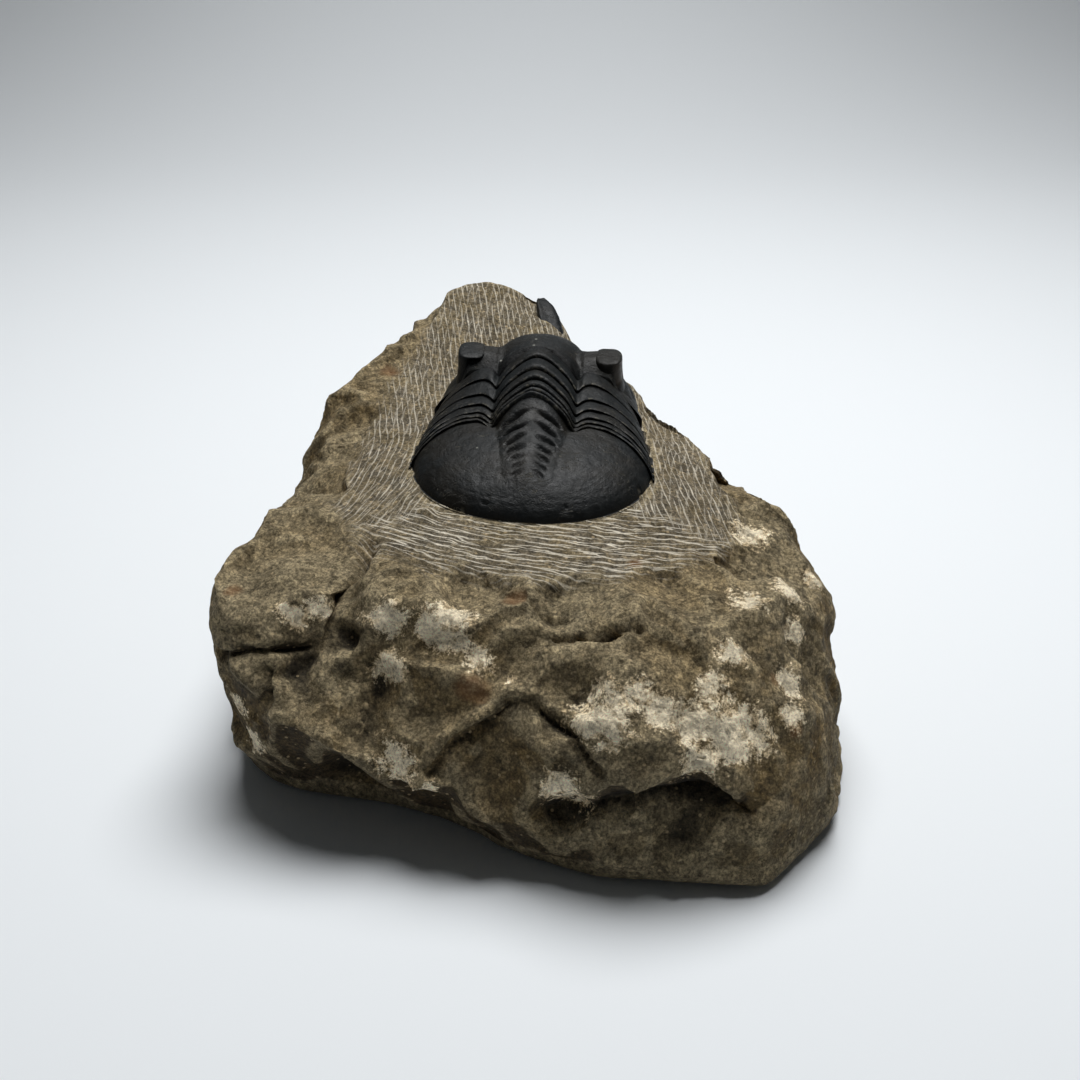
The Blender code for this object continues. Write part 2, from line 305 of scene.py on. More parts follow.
block = dict(
    around=600, footReach=4.6,
    steps=(5, 36, 22, 26, 24, 20, 11),      # rings from seat middle: seat, cleaned, brow, flank, lip, foot, under
    softening=4,
    centre=(0, 2),
    seatMargin=0.2, seatMiddle=6,
    cleaned=[
        (1, -36, 37.2), (16, -32, 36.6), (28, -24, 36), (32, -13, 36.5), (27, 0, 38.4), (20.5, 10, 39.6), (18, 17,
        41), (15.9, 26, 42.3), (10.5, 34.5, 43.2), (4.5, 42, 45.6), (0, 47, 48.6), (-7, 48.5, 50.6), (-15, 42, 50),
        (-20.5, 32, 47.5), (-25, 20, 45), (-28.5, 7, 42.5), (-31.5, -6, 40.4), (-31.5, -17, 39), (-26, -26, 38),
        (-15, -33, 37.5)],
    brow=[
        (2, -43, 34.2), (14, -47, 34), (24, -43.5, 33.6), (30, -37, 33.6), (38.5, -29, 32.6), (42.6, -23.5, 31.6),
        (41, -19, 33.6), (39, -11.5, 36), (35.4, -1, 38.2), (29.4, 9.5, 38.6), (22, 18.5, 39.9), (18, 27, 41), (12,
        37, 42), (6.2, 47, 45), (1.8, 53.5, 49.4), (-4, 55.5, 50.8), (-10.5, 55, 52.9), (-15, 52, 53), (-19.5, 46.5,
        52), (-26, 36, 49.6), (-33.5, 23, 45.8), (-36.5, 15, 44.2), (-37.3, 4, 38.6), (-40.5, -5, 37), (-44.3, -19,
        37.6), (-48, -28, 36.2), (-46.5, -36, 33.5), (-38, -39, 33), (-29, -35, 32.4), (-24, -39.5, 34.2), (-16,
        -41.5, 34.4)],
    flank=[
        (2, -53.5, 26), (14, -56, 26.5), (25, -53.5, 26), (33, -48.5, 25.6), (40, -42, 25), (45, -33, 21), (45.6,
        -22, 24), (42.5, -8, 27), (37, 4, 28), (30.5, 16, 29), (25, 28, 30), (19.5, 40, 31), (13, 51, 34), (5, 59,
        38), (-8, 61.5, 40), (-20, 56, 39), (-30.5, 44, 36), (-38.5, 30, 33), (-42, 16, 31), (-43.5, 3, 28), (-46.5,
        -10, 27), (-48.5, -21, 27.5), (-50, -30, 25), (-47.5, -37, 23), (-41, -43, 24), (-34, -46.5, 26), (-29,
        -43.5, 24), (-18, -49, 23.5), (-8, -52, 23.5)],
    lip=[
        (0, -58.6, 10), (8, -60.6, 16), (19, -61.2, 18.8), (27, -59, 17.6), (34, -56.5, 14), (40.5, -50, 12), (45,
        -43, 9), (47.4, -30, 8.5), (46.8, -14, 11), (44, 2, 13), (40, 17, 14), (33, 32, 14), (24, 46, 15), (13, 57,
        17), (-1, 62.5, 20), (-15, 60, 20), (-29, 51, 18), (-39.5, 38, 15), (-45, 22, 13), (-48, 5, 12), (-50.5,
        -10, 12), (-51, -23, 10), (-48, -33, 10.5), (-43.5, -40, 12.5), (-36, -46, 17.6), (-27, -49.8, 16.6), (-17,
        -53, 13), (-8.5, -56.4, 9.6)],
    foot=[
        (3, -55, 0), (8, -57.5, 0), (22, -59, 0), (32, -60, 0), (43.5, -45, 0), (48.4, -31, 0), (47.5, -14, 0),
        (43.5, 4, 0), (37.5, 20, 0), (30, 35, 0), (20, 49, 0), (8, 57, 0), (-6, 59.5, 0), (-21, 54, 0), (-33, 41,
        0), (-41, 24, 0), (-45.5, 6, 0), (-47.8, -12, 0), (-46, -29, 0), (-41, -35, 0), (-33.5, -38, 0), (-24, -40,
        0), (-15, -43, 0), (-8.5, -47, 0), (-2.5, -51.5, 0)],
    # path, half width and depth, all mm; a negative depth stands proud
    grooves=[
        ([(1.5, -58.5, 11.5), (5, -59.3, 13.6), (9, -60.2, 15.4), (15, -60.6, 16.2), (21.5, -60.2, 16.2), (28.8,
        -58.8, 14.4)], 1.9, 3.6), ([(4, -58.8, 16.4), (8.1, -60, 19.2), (14.9, -60.4, 20.8), (21.5, -59.9, 20.8),
        (28.8, -58.3, 18.6)], 1.8, -1.1), ([(-25, -26.2, 38), (-26.6, -28.8, 36.9), (-27.5, -31.4, 35.4), (-28.4,
        -34, 33.2)], 1.1, 3.6), ([(-28.4, -34, 33.2), (-28.8, -38.3, 31.6), (-31.2, -40.5, 29.6), (-34.2, -42.5,
        27.4), (-38.7, -44.1, 22.6)], 2.2, 1.8), ([(-48.3, -36, 25.1), (-42.6, -39.5, 27.3), (-39.8, -40.7, 28.5),
        (-34.6, -39.6, 29.3)], 0.9, 2.4), ([(-38.6, -42.4, 26.1), (-38.7, -44.1, 24.3), (-40.1, -43.3, 21.6)], 0.7,
        1.8), ([(-8.9, -34.5, 37.2), (-5.6, -36.9, 36.5), (-1.4, -39.1, 35.7), (2.9, -41.8, 34.8)], 1.5, 1.1),
        ([(1.4, -44, 33.3), (6.4, -44.9, 33.7), (9.7, -44.9, 34.1)], 0.5, 1.7), ([(9.7, -44.8, 34.1), (14, -44.8,
        34.3)], 0.7, 2), ([(-15, -52.4, 16), (-11.2, -51.9, 20.8), (-9.1, -52.1, 22.2), (-6.9, -52.2, 23.8), (-4.6,
        -50.6, 26.6)], 1.2, 2.3), ([(-1.5, -52, 27), (2, -53.6, 25.2), (4.8, -55.3, 23.5), (6.4, -56.8, 21.6), (8.2,
        -58.3, 20)], 0.8, 1.9), ([(-17.5, -52.7, 13.6), (-12.5, -52, 19.6), (-8.2, -51.4, 24.1), (-4.1, -49.7,
        27.2)], 1.6, -1.2), ([(-27.5, -37.5, 34.2), (-29.5, -42, 28.5), (-34.5, -45, 23.5), (-40, -44.5, 19.5)],
        1.5, -1.5), ([(-27, -41, 30), (-14, -46.5, 29), (-3, -50.5, 28), (8, -55, 26), (20, -57.5, 23.5)], 1.6,
        -1.1), ([(30, -39, 33), (36.5, -31, 33), (38.3, -33.4, 29.5), (37.9, -42, 26.2), (35.1, -49.6, 21.1)], 1.8,
        -1)],
    # middle, reach and depth; a negative depth is a lump
    hollows=[
        ((16, -61, 11.5), (14, 6, 6), 1.6), ((-27.1, -40.1, 30.1), (2.2, 2.2, 2), 2.2), ((-31, -42, 6), (12, 9, 6),
        1.6), ((-16, -40.5, 35), (9, 4, 4), -1.6), ((10, -41, 36), (9, 5, 4), -1), ((-42.5, -41, 24.5), (3.6, 3.6,
        3.2), -1.3), ((-38, -30, 37), (7, 6, 4), -0.9), ((-20.5, -14.5, 39.7), (1.8, 2.4, 1.5), -1.1), ((-17.5,
        -18.5, 39.3), (1.6, 1.4, 1.5), -0.9), ((2, -51, 28), (6, 6, 4), 1.6), ((12, -50, 31), (7, 5, 4), -1.2),
        ((40.5, -37, 24), (4, 7, 6), 1), ((-0.5, 52, 50), (5, 7, 5), 1.6), ((9, 43, 44), (5, 8, 5), 2), ((22, 20,
        40), (5, 12, 5), 1.6)],
    calcite=[
        (-13.3, -42.3, 33.6, 2.9), (-16.5, -42.3, 33.8, 1.8), (-22.3, -40.4, 33.4, 2), (-21.6, -43.7, 28.6, 2),
        (-9.2, -45.3, 30.6, 1.7), (-5, -47.2, 29.4, 0.9), (-36.4, -37.7, 33.3, 1.2), (-31.9, -36, 32.9, 1.6),
        (-33.6, -36.4, 33.2, 1), (-19.9, -51.3, 15.9, 2.8), (-15.6, -53.2, 13.6, 1.3), (-45.1, -38.6, 17.9, 1.6),
        (-43.2, -40.1, 12.3, 2), (9.7, -54.3, 26.9, 3.6), (6.6, -54.2, 25.6, 2.4), (16.8, -53.9, 27.6, 2.3), (26.1,
        -54, 24.4, 4.2), (21.5, -54.6, 25.6, 2.6), (26.6, -45.4, 30.8, 1.9), (29.6, -36.2, 33.8, 2), (32.8, -17.3,
        35.6, 2.6), (36.6, -30.4, 32.9, 2.3), (37.6, -36.5, 29, 2), (36.1, -44.6, 25.9, 1.9), (3.1, -57.8, 16.2,
        2.6), (13.7, -52, 29.5, 1.6), (21.7, -57.6, 21.9, 2.8), (30.5, -52.5, 22.5, 2.2), (34.6, -48.5, 22.5, 1.9),
        (24, -50, 29, 2), (42.6, -23.5, 31.6, 1.6), (20, 30, 33, 3), (-44, 10, 24, 4), (-10, 60, 30, 4), (45, -5,
        14, 3), (-30, 44, 22, 3), (28, 36, 10, 3.5)],
    rust=[(33.6, -45.6, 26.8, 1), (35.1, -49.6, 21.1, 1.2), (-26.4, 24.3, 46, 2), (-45, -33.2, 34.5, 1.4),
          (-9.8, -48.3, 27, 2.4), (-4, -38, 36, 1.8), (14, -30, 37, 1.2), (-40, 20, 40, 3), (20, 44, 30, 3)],
    # plan angle from the block's centre and how far out the cleaned zone runs: 1 its outline, 2 the brow
    cleanedReach=[(0, 1.25), (12, 1.75), (25, 2.1), (60, 2.2), (104, 2.2), (112, 1.8), (124, 1.2), (150, 1),
                  (200, 0.96), (260, 1), (300, 1), (340, 1.05), (360, 1.25)],
    chips=1500, chipReach=(2.2, 13), chipLean=0.13, chipDepth=0.02, chipSeed=7, crease=34)


def crossing(outline, angles):
    # where level rays from the block's centre cross a closed outline that runs straight between corners
    middle = np.array(block["centre"])
    corner = np.array(outline, float)
    bearing = np.arctan2(corner[:, 1] - middle[1], corner[:, 0] - middle[0]) % turn
    order = np.argsort(bearing)
    corner, bearing = corner[order], bearing[order]
    corner = np.vstack([corner[-1:], corner, corner[:1]])
    bearing = np.concatenate([bearing[-1:] - turn, bearing, bearing[:1] + turn])
    at = np.searchsorted(bearing, angles, side="right") - 1
    start, step = corner[at], corner[at + 1] - corner[at]
    ray = np.stack([np.cos(angles), np.sin(angles)], 1)
    off = start[:, :2] - middle
    t = -(off[:, 0] * ray[:, 1] - off[:, 1] * ray[:, 0]) / (step[:, 0] * ray[:, 1] - step[:, 1] * ray[:, 0])
    return start + t[:, None] * step


def seatOutline(angles):
    # the animal's plan with a margin, laid on the tilted seat
    v = animal["tail"] + (animal["head"] - animal["tail"]) * (1 - np.cos(np.linspace(0, math.pi, 60))) / 2
    right = np.stack([halfWidth(v) + block["seatMargin"], v], 1)
    right[0] = (0, animal["tail"] - block["seatMargin"])
    right[-1] = (0, animal["head"] + block["seatMargin"])
    plan = np.vstack([right, right[-2:0:-1] * [-1, 1]])
    return crossing(placed(plan[:, 0], plan[:, 1], 0), angles)


def blockGrid(angles):
    # straight runs from each outline to the next, then softened so that the edges are worn
    level = ["cleaned", "brow", "flank", "lip", "foot"]
    seat = seatOutline(angles)
    middle = placed(0, block["seatMiddle"], 0)
    under = np.array([*block["centre"], 0])
    key = [0.08 * seat + 0.92 * middle, seat, *[crossing(block[n], angles) for n in level]]
    key.append(0.06 * key[-1] + 0.94 * under)
    rows, reach = [], []
    for k, count in enumerate(block["steps"]):
        t = np.arange(count)[:, None, None] / count
        rows.append((1 - t) * key[k] + t * key[k + 1])
        reach.append(k - 1 + np.arange(count) / count)
    rows.append(key[-1][None])
    reach.append([len(block["steps"]) - 1])
    grid = np.concatenate(rows)
    reach = np.concatenate(reach)
    seatRows = block["steps"][0]
    flat = grid[:seatRows + 1].copy()
    grid = softened(grid, block["softening"])
    grid[:seatRows + 1] = flat
    return grid, reach


def chipped(grid, wild):
    # flat flakes struck off: near each chosen spot, whatever stands beyond a tilted plane is laid onto it
    dice = np.random.default_rng(block["chipSeed"])
    calm = softened(grid, 14)
    normal, middle = gridNormals(calm).reshape(-1, 3), calm.reshape(-1, 3)
    flat = grid.reshape(-1, 3).copy()
    spots = np.flatnonzero((wild.ravel() > 0.5) & (flat[:, 2] > 1))
    for k in range(block["chips"]):
        at = spots[dice.integers(len(spots))]
        small, large = block["chipReach"]
        reach = small * (large / small) ** dice.random()
        lean = dice.normal(size=3) * block["chipLean"]
        way = normal[at] + lean - (lean @ normal[at]) * normal[at]
        way /= np.linalg.norm(way)
        off = flat - middle[at]
        gone = np.linalg.norm(off, axis=1)
        near = np.flatnonzero(gone < reach * 1.25)
        over = off[near] @ way + reach * block["chipDepth"] * dice.random()
        fade = ease(reach * 1.25, reach * 0.95, gone[near]) * wild.ravel()[near]
        flat[near] -= (np.maximum(over, 0) * fade)[:, None] * way
    return flat.reshape(grid.shape)


def featureDepth(points):
    # cracks and hollows cut in, ridges and lumps stand out; each fades as a bell curve
    cut = np.zeros(points.shape[:-1])
    wander = joined(*[ripple(points, 4, 301 + k) for k in range(3)])
    moved = points + 0.6 * wander + 0.25 * ripple(points, 1.5, 307)[..., None]
    for path, width, depth in block["grooves"]:
        cut += depth * np.exp(-1.2 * (nearPath(moved, path) / width) ** 1.25)
    for middle, reach, depth in block["hollows"]:
        off = (moved - np.array(middle, float)) / np.array(reach, float)
        cut += depth * np.exp(-(off * off).sum(-1) * 1.4)
    return cut


def spotMark(points, spots):
    # one at a spot's middle, falling away as a bell curve over its size
    mark = np.zeros(points.shape[:-1])
    for x, y, z, size in spots:
        off = points - np.array([x, y, z])
        mark = np.maximum(mark, np.exp(-(off * off).sum(-1) / (1.6 * size) ** 2))
    return mark


def strokeWays(points):
    # the tool's strokes: bowed lines across the front, lines fanning along both sides, and where each kind rules
    x, y = points[..., 0], points[..., 1]
    front = joined(x, y - (x - 9) ** 2 / 130, 0)
    spread = np.clip(6 - y, 0, None) ** 2
    across = np.where(x < 0, x + 0.0105 * spread, x - 0.004 * spread) + 0.10 * np.clip(y - 6, 0, None)
    sides = joined(y, across, 0)
    rule = ease(4, -4, y + 18.5 + 0.35 * (np.abs(x) - 18) + 2 * ripple(points, 3, 951))
    return front, sides, rule


def buildRock(finish):
    # the outlines' surface pushed out and in along its normals by broken-stone noise and the named features
    angles = np.arange(block["around"]) * turn / block["around"]
    grid, reach = blockGrid(angles)
    normal = gridNormals(softened(grid, 6))
    degree = np.degrees(angles)
    limit = np.interp(degree, *zip(*block["cleanedReach"]))
    edgeNoise = layered(grid, 5, 3, 11)
    cleaned = ease(0.17, -0.17, reach[:, None] - limit[None] + 0.16 * edgeNoise)
    wild = 1 - cleaned
    hidden = ease(0, 0.10, reach)[:, None]
    bottom = ease(4.95, 4.75, reach)[:, None]
    bent = grid + joined(*[ripple(grid, 11, 33 + k) for k in range(3)]) * 1.6
    # broken stone in blocks of 17 mm and, less, 10 mm, a little flattened
    rough = 0.9 * layered(grid, 30, 2, 21) + 1.3 * breaks(bent * [1, 1, 1.2], 17, 31)
    rough -= 0.4 * breaks(bent * [1, 1, 1.5], 10, 35)
    above = reach < block["footReach"]
    rough += 1.3 - rough[above].mean()
    rough *= 1 - 0.55 * ease(24, 40, grid[..., 1])
    calm = 0.35 * layered(grid, 9, 2, 71) + 0.13 * layered(grid, 2, 2, 81) + 0.10 * breaks(grid, 1.8, 91)
    push = hidden * bottom * (wild * rough + cleaned * calm)
    rise = grid + push[..., None] * normal
    fine = rise + joined(*[ripple(rise, 3, 43 + k) for k in range(3)]) * 0.5
    grit = 0.5 * breaks(fine * [1, 1, 1.3], 4.8, 41) - 0.3 * breaks(fine, 3.2, 45)
    grit = grit - grit[above].mean()
    bare = wild * hidden * bottom
    rise = chipped(rise + (bare * grit)[..., None] * gridNormals(softened(rise, 3)), bare)
    grain = 0.20 * breaks(fine, 2.2, 51) + 0.10 * breaks(rise, 1.3, 55)
    rise = rise + (hidden * bottom * (wild * grain - featureDepth(grid)))[..., None] * gridNormals(softened(rise, 3))
    rise[..., 2] = np.maximum(rise[..., 2], 0)
    faceOut = gridNormals(rise)
    # upward is how far each face turns up; the finish paints light on upward faces and shade on downward ones
    upward = softened(faceOut[..., 2], 2)
    # hollow is how far each point lies in a hollow, below nought on ridges; the finish paints shade into hollows and
    # paler wear onto ridges
    hollow = np.zeros(push.shape)
    for step, weight in ((2, 1), (5, 0.45)):
        near = (np.roll(rise, step, 1) + np.roll(rise, -step, 1)) / 2 - rise
        down = np.zeros_like(rise)
        down[step:-step] = (rise[:-2 * step] + rise[2 * step:]) / 2 - rise[step:-step]
        hollow += weight * ((near + down) * faceOut).sum(-1)
    hollow = softened(hollow, 1)
    marks = dict(
        hollow=hollow, upward=upward, cleaned=cleaned, calcite=spotMark(grid, block["calcite"]),
        rust=spotMark(grid, block["rust"]))
    marks["strokesFront"], marks["strokesSide"], marks["frontRule"] = strokeWays(rise)
    points = np.vstack([rise.reshape(-1, 3), placed(0, block["seatMiddle"], 0), [*block["centre"], 0]])
    flat = {}
    for key, value in marks.items():
        value = value.reshape(rise.shape[0] * rise.shape[1], -1)
        flat[key] = np.squeeze(np.vstack([value, np.zeros((2, value.shape[1]))]))
    makePiece(
        "limestone_block", points, tubeFaces(*grid.shape[:2]), finish, ["matrix_rock"], flat,
        block["crease"])


stoneLook = dict(
    # dark is both a mottle and painted shade on downward faces; the near-black brown paints shade into hollows; the
    # pale grey-brown paints light onto upward faces, with some dust, and wear onto ridges
    brown="#6e5b39", grey="#786b51", dark="#33291b", pale="#a3916d", dirt="#1b1710", cream="#fff0d0",
    tan="#d3bb92", rust="#7d5028", ground="#6c6558", line="#fff6e2", bruise="#a09274",
    # tone, mottle, speck, sand and the calcite's frayed edge: size in metres, detail, roughness, distortion
    noises=((0.021, 5, 0.6, 0), (0.0060, 8, 0.70, 0.3), (0.0009, 6, 0.85, 0), (0.00042, 3, 0.75, 0),
            (0.0042, 9, 0.74, 0.4)),
    crystalSize=0.0016, facetSize=0.0027, facetLean=1.9, grainSize=0.0010, grainLean=0.8,
    strokeGap=1, strokeBend=1.35,  # mm from stroke to stroke, and how many gaps a stroke strays
    # what bends the strokes and what breaks them: mm along, mm across, seed, roughness
    strokeNoises=((9, 3, 0, 0.55), (4.5, 0.9, 3, 0.6)),
    # two nets in front, two at the sides: lean, times the gap, seed
    frontNets=((0, 1, 1), (0.16, 1.5, 9)), sideNets=((0.04, 1, 17), (-0.22, 1.3, 25)),
    bumpDepth=0.0011, specular=0.3)


def stoneFinish():
    # fine-grained limestone, broken and weathered: dull, speckled, with white calcite and tool strokes
    finish, tree, shader = newFinish("weatheredLimestone")
    look, add = stoneLook, partial(put, tree)
    where = add("TexCoord", out="Object")
    hollow, upward, cleaned, calcite, rust, rule = [
        add("Attribute", out="Fac", attribute_name=name)
        for name in ("hollow", "upward", "cleaned", "calcite", "rust", "frontRule")]
    front, sides = [add("Attribute", out="Vector", attribute_name=name) for name in ("strokesFront", "strokesSide")]
    fibre = add("Mapping", {"Vector": where, "Rotation": (0.3, 0.5, 0.9), "Scale": (1, 1.35, 1)})
    tone, mottle, speck, sand, fray = [
        add("TexNoise", {"Vector": at, "Scale": 1 / size, "Detail": detail, "Roughness": rough, "Distortion": bent})
        for (size, detail, rough, bent), at in zip(look["noises"], (where, where, where, where, fibre))]

    def strokes(way, lean, gap, seed):
        # evenly spaced lines bent and pinched by a noise drawn out along them, then broken into lengths
        along, over = add("SeparateXYZ", way).node.outputs[:2]
        warp, kept = [
            add("TexNoise", {"Scale": 1, "Detail": 2, "Roughness": rough, "Vector": add(
                "CombineXYZ", add("Math", along, 1 / length, **times), add("Math", over, 1 / width, **times),
                seed + shift)})
            for length, width, shift, rough in look["strokeNoises"]]
        level = add("Math", over, 1 / gap, add("Math", along, lean / gap, **times), **timesPlus)
        level = add("Math", warp, look["strokeBend"], level, **timesPlus)
        off = add("Math", add("Math", add("Math", level, operation="FRACT"), 0.5, **less), operation="ABSOLUTE")
        wide = add("MapRange", kept, 0.34, 0.66, 0.01, 0.19, **gradual)
        return add("MapRange", off, wide, add("Math", wide, 0.35, **times))

    def facet(size, strength):
        # each grain a small plane leaning its own way, with a tone of its own
        grain = add("TexVoronoi", {"Vector": where, "Scale": 1 / size}).node.outputs
        off = add("VectorMath", where, grain["Position"], **less)
        lean = add("VectorMath", grain["Color"], (0.5, 0.5, 0.5), **less)
        plane = add("VectorMath", off, lean, out="Value", operation="DOT_PRODUCT")
        return add("Math", plane, strength / size, **times), add("SeparateColor", grain["Color"])

    def product(rows):
        # several eased ranges multiplied together
        result = 1
        for row in rows:
            result = add("Math", result, add("MapRange", *row, **gradual), **times)
        return result

    coarseFacet, coarseTone = facet(look["facetSize"], look["facetLean"])
    fineFacet, fineTone = facet(look["grainSize"], look["grainLean"])
    ground = washed(add, look, look["ground"], [("grey", mottle, 0.34, 0.66, 1, 1)])
    # upward faces get painted light with some dust, and ridges are paler with wear; downward faces and hollows get
    # painted shade
    facing = add("Math", mottle, 0.8, upward, **timesPlus)
    edge = add("Math", speck, 0.3, hollow, **timesPlus)
    colour = washed(add, look, look["brown"], [
        ("grey", tone, 0.40, 0.60, 1, 1), ("dark", mottle, 0.50, 0.72, 0.42, 1),
        ("pale", mottle, 0.47, 0.28, 0.36, 1),
        ("bruise", facing, 0.65, 1.35, 0.42, add("Math", 1, cleaned, **less)),
        ("dark", facing, 0.55, 0.10, 0.85, 1), (ground, *always, 0.85, cleaned),
        ("bruise", edge, 0.02, -0.35, 0.45, 1), ("dirt", hollow, 0.6, 2, 0.80, 1)])
    # crystal grains catch light, dark grains and pits do not
    grainTone = add("Math", coarseTone, 0.4, add("Math", fineTone, 0.6, **times), **timesPlus)
    grains = product([
        (speck, 0.34, 0.68, 0.45, 1.60), (sand, 0.36, 0.64, 0.60, 1.42), (grainTone, 0.1, 0.9, 0.72, 1.26)])
    colour = add("Mix", {0: 1, 6: colour, 7: grains}, blend_type="MULTIPLY", **tinted)
    # calcite in ragged patches, whiter towards their middles; 2.05 is half the three shares
    ragged = add("Math", calcite, 2.05, **less)
    for value, share in ((fray, 2.1), (speck, 1.1), (sand, 0.9)):
        ragged = add("Math", value, share, ragged, **timesPlus)
    vein = add("MapRange", ragged, 0.50, 0.76, 0, 0.95, **gradual)
    creamy = add("Math", fineTone, 0.4, ragged, **timesPlus)
    chalk = washed(add, look, look["tan"], [("cream", creamy, 0.70, 1.15, 1, 1)])
    dusty = product([(sand, 0.36, 0.64, 0.74, 1.22), (speck, 0.36, 0.66, 0.80, 1.18)])
    chalk = add("Mix", {0: 1, 6: chalk, 7: dusty}, blend_type="MULTIPLY", **tinted)
    # each side's strokes rule where the other's give out, and show only on cleaned stone
    ofFront, ofSides = [
        [strokes(way, lean, look["strokeGap"] * wide, seed) for lean, wide, seed in look[nets]]
        for way, nets in ((front, "frontNets"), (sides, "sideNets"))]
    ofFront = add("Math", add("Math", *ofFront, **larger), add("MapRange", rule, 0.1, 0.6, **gradual), **times)
    ofSides = add("Math", ofSides[0], add("Math", ofSides[1], 0.5, **times), **larger)
    ofSides = add("Math", ofSides, add("MapRange", rule, 0.9, 0.4, 0, 0.75, **gradual), **times)
    lines = add("Math", add("Math", ofFront, ofSides, **larger), cleaned, **times)
    lines = add("Math", lines, product([(speck, 0.32, 0.55, 0.25, 1), (mottle, 0.30, 0.50, 1, 0.60)]), **times)
    crystal = add("TexVoronoi", {"Vector": where, "Scale": 1 / look["crystalSize"]}, out="Distance")
    colour = washed(add, look, colour, [
        ("tan", crystal, 0.19, 0.10, 0.5, 1), ("rust", add("Math", rust, mottle, **plus), 1, 1.5, 0.5, 1),
        (chalk, *always, 1, vein), ("line", *always, 1, lines)])
    # cleaned stone is smoother, and each stroke is a shallow groove
    rugged = add("Math", cleaned, -0.75, 1, **timesPlus)
    height = add("Math", add("Math", coarseFacet, fineFacet, **plus), rugged, **times)
    for value, share in ((mottle, 0.35), (speck, 0.36), (sand, 0.14), (lines, -0.10)):
        height = add("Math", value, share, height, **timesPlus)
    bump = add("Bump", {"Height": height, "Distance": look["bumpDepth"], "Strength": 1})
    tree.links.new(colour, shader.inputs["Base Color"])
    tree.links.new(add("MapRange", vein, 0, 1, 0.93, 0.72, **gradual), shader.inputs["Roughness"])
    tree.links.new(bump, shader.inputs["Normal"])
    shader.inputs["Specular IOR Level"].default_value = look["specular"]
    return finish


shellLook = dict(
    # the near-black paints shade into grooves, furrows, the buried rim and one eye's dent; the pale grey is
    # scratches and wear, and a painted highlight on each ring's back edge
    body="#0a0e0f", warm="#12100b", pale="#222829", chip="#a9a99f", dust="#6b675b", lens="#3d3226", deep="#030404",
    # cloud, mottle, pit, then where lines, scratches, worn and painted-highlight edges and chips may show: metres,
    # detail, roughness
    noises=((0.008, 3, 0.6), (0.0016, 5, 0.65), (0.00035, 2, 0.6), (0.0045, 2, 0.6), (0.0052, 3, 0.6),
            (0.0011, 3, 0.6), (0.012, 1, 0.6)),
    lineGap=0.55, scratchScale=(260, 900, 500), chipSize=0.0031, roughness=0.52, bumpDepth=0.0006, specular=0.28)


def shellFinish():
    # exoskeleton turned to black calcite, cleaned and lightly waxed: smooth with a soft sheen
    finish, tree, shader = newFinish("blackCalcite")
    look, add = shellLook, partial(put, tree)
    where = add("TexCoord", out="Object")
    growth, worn, lens, deep = [
        add("Attribute", out="Fac", attribute_name=name) for name in ("growth", "worn", "lens", "deep")]
    cloud, mottle, pit, linePatch, scratchPatch, wornPatch, chipPatch = [
        add("TexNoise", {"Vector": where, "Scale": 1 / size, "Detail": detail, "Roughness": rough})
        for size, detail, rough in look["noises"]]
    # fine terrace lines follow the plate's margin, and fade towards it
    gap = add("CombineXYZ", add("Math", cloud, 1.3, growth, **timesPlus), 0, 0)
    terrace = add("TexNoise", {"Vector": gap, "Scale": 1 / look["lineGap"], "Detail": 2})
    # stray scratches left by cleaning
    drawn = add("Mapping", {"Vector": where, "Rotation": (0.2, 0.1, 0.5), "Scale": look["scratchScale"]})
    stray = add("TexNoise", {"Vector": drawn, "Scale": 1, "Detail": 3, "Distortion": 0.6})
    stray = add("Math", add("Math", stray, 0.5, **less), operation="ABSOLUTE")
    chips = add("TexVoronoi", {"Vector": where, "Scale": 1 / look["chipSize"]}, out="Distance")
    lined, lineShare, fade, scratch, scratchShare, wornShare, chipShare = [
        add("MapRange", *row, **gradual) for row in (
            (terrace, 0.52, 0.66), (linePatch, 0.42, 0.62), (growth, 4, 11), (stray, 0.016, 0.002),
            (scratchPatch, 0.50, 0.66), (wornPatch, 0.50, 0.66), (chipPatch, 0.5, 0.56))]
    lined = add("Math", add("Math", lined, lineShare, **times), fade, **times)
    scratch = add("Math", scratch, scratchShare, **times)
    # pale grey over scratches, over wear and as a painted highlight on ring edges; near-black as painted shade in
    # grooves, furrows and dents
    colour = washed(add, look, look["body"], [
        ("warm", cloud, 0.42, 0.64, 1, 1), ("pale", mottle, 0.55, 0.80, 0.45, 1),
        ("pale", *always, 0.14, lined), ("dust", *always, 0.40, scratch), ("dust", worn, 0.25, 0.9, 0.55, wornShare),
        ("chip", chips, 0.10, 0.05, 0.7, chipShare), ("deep", *always, 1, deep), ("lens", *always, 1, lens)])
    height = add("Math", mottle, 0.5, **times)
    for value, share in ((pit, 0.12), (lined, 0.04), (scratch, -0.16)):
        height = add("Math", value, share, height, **timesPlus)
    bump = add("Bump", {"Height": height, "Distance": look["bumpDepth"], "Strength": 0.8})
    rough = add("MapRange", mottle, 0.3, 0.75, look["roughness"] - 0.08, look["roughness"] + 0.16, **gradual)
    tree.links.new(colour, shader.inputs["Base Color"])
    tree.links.new(rough, shader.inputs["Roughness"])
    tree.links.new(bump, shader.inputs["Normal"])
    shader.inputs["Specular IOR Level"].default_value = look["specular"]
    return finish


rings = dict(
    across=241,
    # the closed section of one plate: share of the ring from its back edge, and lift over the arch in mm
    section=[
        (0.16, -1.5), (0.09, -0.9), (0.01, -0.35), (-0.05, 0.05), (-0.07, 0.28), (-0.03, 0.48), (0.06, 0.60),
        (0.17, 0.66), (0.29, 0.64), (0.40, 0.52), (0.50, 0.26), (0.59, -0.12), (0.69, -0.55), (0.80, -0.85),
        (1.00, -0.95), (1.20, -1.10), (1.22, -1.5), (0.80, -2), (0.40, -2)],
    edgeLength=1.9, pleuraLift=0.28, flankLift=0.06, tipLift=0.5, sink=0.9)


